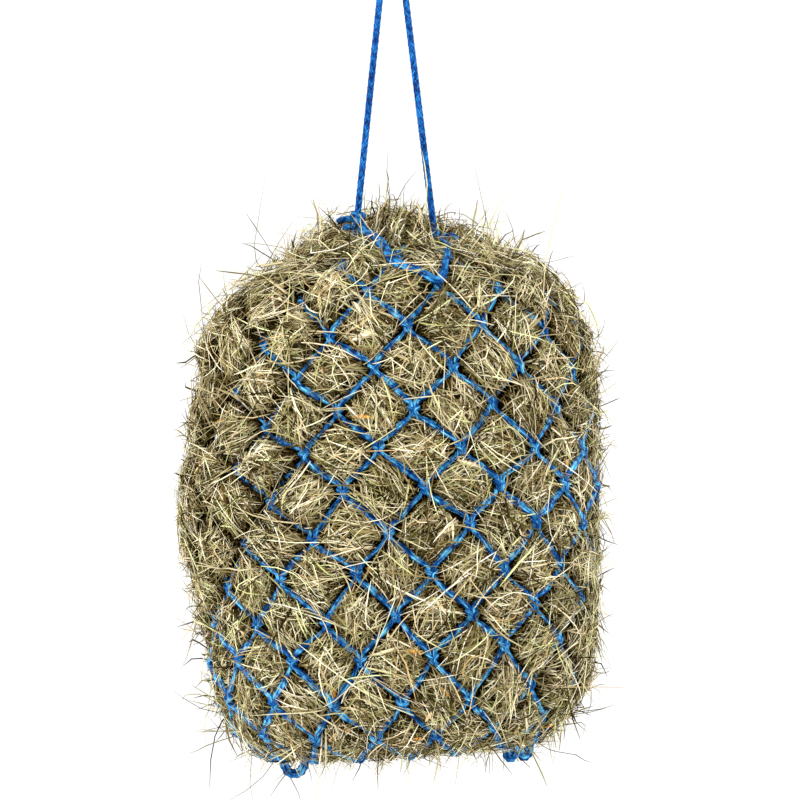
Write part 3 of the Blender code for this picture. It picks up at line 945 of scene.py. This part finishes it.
def crown(rows, point):
    """How far the hay stands up over the rim and the mouth, though not in front of the drawcord."""
    back = np.clip(CROWN_MIDDLE + point[..., 1] / CROWN_FRONT, 0, 1)
    rise = np.clip((CROWN_FROM_ROW + CROWN_BACK_ROWS * back - rows) / CROWN_ROWS, 0, 1)
    aside = np.clip((np.abs(point[..., 0] - CENTRE_X) - SHOULDER_FROM) / SHOULDER_WIDTH, 0, 1)
    rise = rise * rise * (3 - 2 * rise) * (CROWN_FRONT_SHARE + CROWN_BACK_EXTRA * back)
    rise = rise * (1 - CROWN_SHOULDER_LOSS * aside)
    near = np.full(rows.shape, 1.0)
    high = rows < CROWN_FROM_ROW + 1
    spots = point[high]
    for spot in CLEAR_LINE:
        near[high] = np.minimum(near[high], np.linalg.norm(spots - spot, axis=-1))
    return CROWN_RISE * rise * np.clip((near - CORD_CLEAR) / CORD_CLEAR_FADE, 0, 1)


def scatter_places(count, chance, clear_of_cords, first, last):
    """Lattice places spread evenly over the bag's area between two rows."""
    rows = np.empty(0)
    columns = np.empty(0)
    while len(rows) < count:
        try_rows = chance.uniform(first, last, 2 * count)
        try_columns = chance.uniform(0, COLUMNS, 2 * count)
        area = np.linalg.norm(np.cross(*base_slopes(try_rows, try_columns, SLOPE_STEP)), axis=-1)
        kept = chance.uniform(0, 1, 2 * count) < area / area.max()
        if clear_of_cords:
            clear = pillow(try_rows, try_columns)[1] > START_ABOVE
            kept &= clear | (try_rows < FIRST_ROW) | (try_rows > LAST_ROW)
        rows = np.concatenate([rows, try_rows[kept]])
        columns = np.concatenate([columns, try_columns[kept]])
    return rows[:count], columns[:count]


def stop_at_cords(place_at, t):
    """Cut stalks short where they dive under a cord: their places along, from first to last."""
    fine = np.linspace(-0.5, 0.5, 25)[None, :]
    under = pillow(*place_at(fine))[1] < DIVE_AT
    middle = fine.shape[1] // 2
    ahead = np.maximum.accumulate(under[:, middle:], axis=1)
    behind = np.maximum.accumulate(under[:, middle::-1], axis=1)
    high = fine[0, middle + np.where(ahead.any(axis=1), ahead.argmax(axis=1), middle)]
    low = fine[0, middle - np.where(behind.any(axis=1), behind.argmax(axis=1), middle)]
    return low[:, None] + (high - low)[:, None] * (t + 0.5)


def stalk_lines(places, lengths, headings, curls, steps, drape, lifts, end_lifts, bends, droops, dives):
    """Middle lines of stalks laid over the hay, as an array of (stalk, step, xyz)."""
    rows, columns = places
    t = np.linspace(-0.5, 0.5, steps)[None, :]
    down, right = np.linalg.norm(base_slopes(rows, columns, SPACING_STEP), axis=-1)
    per_row = np.maximum(down / (2 * SPACING_STEP), LEAST_ROW_HEIGHT)[:, None]
    per_column = np.maximum(right / (2 * SPACING_STEP), LEAST_COLUMN_WIDTH)[:, None]

    def place_at(t):
        turned = headings[:, None] + curls[:, None] * t
        along = lengths[:, None] * t
        step_rows = along * np.sin(turned) / per_row
        step_columns = along * np.cos(turned) / per_column
        line_rows = np.clip(rows[:, None] + step_rows, FIRST_ROW - TOP_ROWS + 0.05, LAST_ROW + 0.9)
        return line_rows, columns[:, None] + step_columns

    if dives:
        t = stop_at_cords(place_at, t)
    line_rows, line_columns = place_at(t)
    surface, out, swell = hay_surface(line_rows, line_columns)
    stiff = swell.mean(axis=1, keepdims=True)
    near_end = np.clip(np.minimum(line_rows - FIRST_ROW, LAST_ROW - line_rows), 0, 1)
    change = (1 - drape[:, None]) * (stiff - swell) * (HAY_IN_MESH - HAY_UNDER_CORDS) * near_end
    part = np.linspace(0, 1, steps)[None, :]
    lift = lifts[:, None] + change + end_lifts[:, None] * part**bends[:, None]
    line = surface + out * lift[..., None]
    line[..., 2] -= droops[:, None] * part**3
    return line, out, swell


def stalk_mesh(name, lines, out, widths, flatness, sides, tones, depths, hues, material):
    """One mesh of many tapered stalks along their lines, three or four sides to each."""
    count, steps, _ = lines.shape
    ahead = unit(np.gradient(lines, axis=1))
    across = unit(np.cross(ahead, out))
    up = np.cross(across, ahead)
    turn = 2 * math.pi * np.arange(sides) / sides
    taper = np.interp(np.linspace(0, 1, steps), *STALK_TAPER)
    half = 0.5 * widths[:, None] * taper[None, :]
    points = (
        lines[:, :, None, :]
        + np.cos(turn)[None, None, :, None] * (half[:, :, None, None] * across[:, :, None, :])
        + np.sin(turn)[None, None, :, None] * (half * flatness[:, None])[:, :, None, None] * up[:, :, None, :]
    )
    quads = ring_quads(steps, sides)
    base = (np.arange(count) * steps * sides)[:, None, None]
    all_quads = (quads[None] + base).reshape(-1, 4)
    near = (np.arange(sides)[::-1][None, None] + base).reshape(-1, sides)
    far = ((steps - 1) * sides + np.arange(sides)[None, None] + base).reshape(-1, sides)
    attributes = {
        "stalk": np.stack([np.repeat(tones, steps * sides), np.repeat(depths.reshape(-1), sides),
                           np.repeat(hues, steps * sides)], axis=-1),
    }
    return new_mesh(name, points.reshape(-1, 3), [all_quads, near, far], material, attributes)


TUFTS = np.random.default_rng(TUFT_SEED).uniform(0, math.pi, (TUFT_TABLE, TUFT_TABLE))


def tuft_heading(rows, columns):
    """The way most stalks lie at a place: each mesh has a lay of its own."""
    across = np.floor(0.5 * (rows + columns)).astype(int)
    down = np.floor(0.5 * (rows - columns)).astype(int)
    return TUFTS[across % TUFT_TABLE, down % TUFT_TABLE]


def hay_layer(material, name, count, seed, lift, lift_spread, end_lift, length, width, drape, shade,
              tone=(0.0, 1.0), steps=4, sides=3, flatness=0.6, curl=0.15, dives=True,
              rows=(FIRST_ROW - 1.6, LAST_ROW + 0.1), wobble=0.0002, droop=0.0, hue=(0.0, 0.98)):
    """A layer of loose stalks over the bag."""
    chance = np.random.default_rng(seed)
    places = scatter_places(count, chance, dives, *rows)
    lengths = length * chance.lognormal(0.0, LENGTH_SPREAD, count)
    headings = tuft_heading(*places) + chance.normal(0, HEADING_SPREAD, count)
    headings = headings + math.pi * chance.integers(0, 2, count)
    curls = chance.normal(0, curl, count)
    lifts = lift + chance.normal(0, lift_spread, count)
    end_lifts = end_lift * chance.exponential(1.0, count)
    drapes = chance.uniform(*drape, count)
    bends = chance.uniform(*BENDS, count)
    droops = droop * chance.uniform(0, 1, count)
    lines, out, swell = stalk_lines(places, lengths, headings, curls, steps, drapes, lifts, end_lifts,
                                    bends, droops, dives)
    lines = lines + chance.normal(0, wobble, lines.shape)
    widths = width * chance.lognormal(0.0, WIDTH_SPREAD, count)
    tones = chance.uniform(*tone, count)
    # Painted shade: stalks of deep layers and stalks near a cord are darker.
    open_air = np.clip((swell - SHADE_FROM) / (SHADE_TO - SHADE_FROM), 0, 1)
    depths = shade[0] + (shade[1] - shade[0]) * open_air
    inside = (np.abs(lines[..., 0] - CENTRE_X) < WISP_REACH_X) & (np.abs(lines[..., 1]) < WISP_REACH_Y)
    kept = inside.all(axis=1) & (lines[..., 2] > WISP_BOTTOM).all(axis=1) & clear_of_runs(lines)
    flat = flatness * chance.uniform(*FLATNESS_RANGE, count)
    hues = chance.uniform(*hue, count)
    piece = stalk_mesh(name, lines[kept], out[kept], widths[kept], flat[kept], sides, tones[kept],
                       depths[kept], hues[kept], material)
    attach(piece, "bag")


def clear_of_runs(lines):
    """Which stalks keep clear of the drawcord's hanging runs."""
    cord = drawcord_line(GAP_STEP)
    clear = np.ones(len(lines), bool)
    near = (lines[..., 2] > cord[:, 2].min() - CORD_GAP).any(axis=1)
    gaps = np.linalg.norm(lines[near][:, :, None, :] - cord, axis=-1)
    clear[near] = (gaps > CORD_GAP).all(axis=(1, 2))
    return clear


def clear_line():
    """Places along the drawcord in front of the hay, which the hay in the mouth doesn't hide."""
    line, out = front_run()
    spots = list((line - out * CLEAR_BEHIND_CORD)[::3])
    for leave in (LEFT_EXIT, RIGHT_EXIT):
        for ahead in CLEAR_AHEAD_OF_EXIT:
            spots.append(np.array(leave) - (0.0, ahead, CLEAR_BELOW_EXIT))
    return spots


CLEAR_LINE = clear_line()


def hay_core(material):
    """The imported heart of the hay: a closed bumpy skin a little under the loose stalks."""
    rows = np.linspace(FIRST_ROW - TOP_ROWS + 0.03, LAST_ROW + 0.97, CORE_RINGS)
    columns = np.arange(COLUMNS * CORE_PER_COLUMN) / CORE_PER_COLUMN
    grid_rows, grid_columns = np.meshgrid(rows, columns, indexing="ij")
    rough = np.random.default_rng(5).normal(0, CORE_ROUGHNESS, grid_rows.shape)
    points, _, _ = hay_surface(grid_rows, grid_columns, rough - CORE_DEPTH)
    wide = len(columns)
    quads = ring_quads(len(rows), wide)[:, [0, 3, 2, 1]]
    points = points.reshape(-1, 3)
    top = points[:wide].mean(axis=0)
    bottom = points[-wide:].mean(axis=0)
    count = len(points)
    ring = np.arange(wide)
    top_faces = np.stack([np.full(wide, count), ring, (ring + 1) % wide], axis=-1)
    last = (len(rows) - 1) * wide
    bottom_faces = np.stack([np.full(wide, count + 1), last + (ring + 1) % wide, last + ring], axis=-1)
    points = np.concatenate([points, [top], [bottom]])
    piece = new_mesh("hay_core", points, [quads, top_faces, bottom_faces], material)
    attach(piece, "bag")
    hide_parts("hay_fill")


# A layer of stalks: its name, how many, its seed, its height over the hay and how much that varies, how
# far the far ends stand up, the stalks' length and width, how closely they follow the hay (least and
# most), and how lit they are (by the cords and in the open). Then comes what isn't as usual.
LAYERS = (
    ("hay_under", 8500, 201, -0.0042, 0.0010, 0.0, 0.050, 0.0024, (0.9, 1.0), (0.05, 0.18),
     dict(tone=(0.0, 0.7), dives=False)),
    ("hay_main_a", 8600, 202, -0.0015, 0.0010, 0.002, 0.042, 0.0016, (0.5, 1.0), (0.10, 0.44), {}),
    ("hay_main_b", 8600, 203, 0.0000, 0.0012, 0.003, 0.040, 0.0014, (0.4, 0.9), (0.26, 0.74), {}),
    ("hay_fine_a", 7600, 204, 0.0006, 0.0012, 0.003, 0.034, 0.0011, (0.3, 0.9), (0.36, 0.88),
     dict(tone=(0.0, 0.9))),
    ("hay_fine_b", 7400, 210, 0.0014, 0.0014, 0.004, 0.032, 0.0010, (0.2, 0.9), (0.60, 1.0),
     {}),
    ("hay_fine_c", 5200, 211, 0.0018, 0.0014, 0.004, 0.032, 0.0010, (0.2, 0.9), (0.70, 1.0),
     dict(tone=(0.4, 1.0))),
    ("hay_blades", 1100, 205, 0.0008, 0.0012, 0.003, 0.030, 0.0024, (0.4, 1.0), (0.50, 0.95),
     dict(tone=(0.4, 1.0), sides=4, flatness=0.2)),
    ("hay_leaves", 90, 213, 0.0022, 0.0008, 0.001, 0.012, 0.0040, (0.8, 1.0), (0.80, 1.0),
     dict(tone=(0.5, 0.8), sides=4, flatness=0.15, hue=(0.97, 1.0))),
    ("hay_over", 1500, 206, 0.0036, 0.0010, 0.003, 0.046, 0.0012, (0.0, 0.3), (0.9, 1.0),
     dict(tone=(0.3, 1.0), steps=5, dives=False, curl=0.25)),
    ("hay_over_mouth", 300, 212, 0.0120, 0.0020, 0.003, 0.034, 0.0012, (0.0, 0.4), (0.9, 1.0),
     dict(tone=(0.2, 1.0), steps=5, dives=False, rows=(-8.4, -4.4), curl=0.5)),
    ("hay_bristles", 4600, 208, 0.0010, 0.0015, 0.012, 0.042, 0.0012, (0.3, 0.9), (0.7, 1.0),
     dict(tone=(0.0, 0.9), steps=5, curl=0.8, rows=(FIRST_ROW - 1.6, 6.9), droop=0.006, wobble=0.0005)),
    ("hay_crown", 2600, 209, -0.001, 0.002, 0.009, 0.042, 0.0013, (0.3, 0.9), (0.6, 1.0),
     dict(steps=6, curl=1.4, rows=(-8.7, -5.9), droop=0.008, wobble=0.0006)),
    ("hay_wisps", 420, 207, 0.0010, 0.0015, 0.016, 0.062, 0.0010, (0.2, 0.8), (0.7, 1.0),
     dict(tone=(0.0, 0.9), steps=8, curl=2.0, droop=0.022, wobble=0.0005)),
)


def hay():
    """All the hay: its heart, then layers of stalks from deep and dark to loose and pale."""
    hay_core(core_material())
    stalks = hay_material()
    for *usual, special in LAYERS:
        hay_layer(stalks, *usual, **special)


# ---------------------------------------------------------------- stage, light and camera

# A light's name, place, size and power.
LIGHTS = (
    ("key", (-1.7, -2.1, 1.3), 0.9, 78.0),
    ("fill", (1.8, -1.4, 0.3), 1.2, 22.0),
    ("left", (-2.2, -0.2, 0.1), 1.2, 22.0),
    ("right", (2.2, -0.2, 0.0), 1.2, 18.0),
)
LIGHT_AIM = Vector((0.0, 0.0, -0.45))
WORLD_LIGHT = 1.12
FLOOR_RADIUS = 2.2
FLOOR_HEIGHT = -0.95


def stage():
    """A plain pale floor well under the net, soft studio light and a white surround."""
    bpy.ops.mesh.primitive_circle_add(vertices=96, radius=FLOOR_RADIUS, fill_type="NGON",
                                      location=(0, 0, FLOOR_HEIGHT))
    floor = bpy.context.object
    floor.name = "floor"
    look = Look("floor_white", roughness=0.8)
    look.inputs["Base Color"].default_value = (0.9, 0.9, 0.9, 1.0)
    floor.data.materials.append(look.material)
    world = bpy.data.worlds.new("studio")
    bpy.context.scene.world = world
    world.use_nodes = True
    background = world.node_tree.nodes["Background"]
    background.inputs["Color"].default_value = (1.0, 1.0, 1.0, 1.0)
    background.inputs["Strength"].default_value = WORLD_LIGHT
    for name, place, size, power in LIGHTS:
        lamp = bpy.data.lights.new(name, "AREA")
        lamp.shape = "SQUARE"
        lamp.size = size
        lamp.energy = power
        obj = bpy.data.objects.new(name, lamp)
        obj.location = place
        obj.rotation_euler = (LIGHT_AIM - Vector(place)).to_track_quat("-Z", "Y").to_euler()
        bpy.context.collection.objects.link(obj)
    bpy.context.scene.view_settings.view_transform = "Standard"


def camera():
    """A long lens, level, straight at the front."""
    lens = bpy.data.cameras.new("camera")
    lens.sensor_width = SENSOR_WIDTH
    lens.lens = lens.sensor_width * (CAMERA_DISTANCE + SUBJECT_DEPTH) / VIEW_WIDTH
    obj = bpy.data.objects.new("camera", lens)
    obj.location = (CAMERA_X, -CAMERA_DISTANCE, CAMERA_Z)
    obj.rotation_euler = (math.pi / 2, 0.0, 0.0)
    bpy.context.collection.objects.link(obj)
    bpy.context.scene.camera = obj


def build():
    """Make everything."""
    camera()
    twine = twine_material("net_twine", NET_BLUES, 6, 18.0)
    cord = twine_material("drawcord", CORD_BLUES, 2, 7.0)
    # A darker copy of the drawcord's material: painted shade on its knots, tail and front run.
    shaded_cord = twine_material("painted_shade_cord", PAINTED_SHADE_BLUES, 4, 9.0)
    drawcord(cord)
    mouth_cords(cord, shaded_cord)
    exit_knots(shaded_cord)
    for row in range(FIRST_ROW, LAST_ROW):
        name = "selvedge_course" if row == FIRST_ROW else f"net_course_{row - FIRST_ROW:02d}"
        net_course(name, row, twine)
    bottom_seam(twine)
    hay()
    stage()


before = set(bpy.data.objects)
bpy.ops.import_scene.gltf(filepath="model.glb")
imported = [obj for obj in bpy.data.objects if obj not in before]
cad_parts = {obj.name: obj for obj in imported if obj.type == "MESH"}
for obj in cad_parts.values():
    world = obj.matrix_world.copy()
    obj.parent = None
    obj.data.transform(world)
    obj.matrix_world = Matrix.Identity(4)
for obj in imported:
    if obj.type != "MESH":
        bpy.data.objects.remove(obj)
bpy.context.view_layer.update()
build()
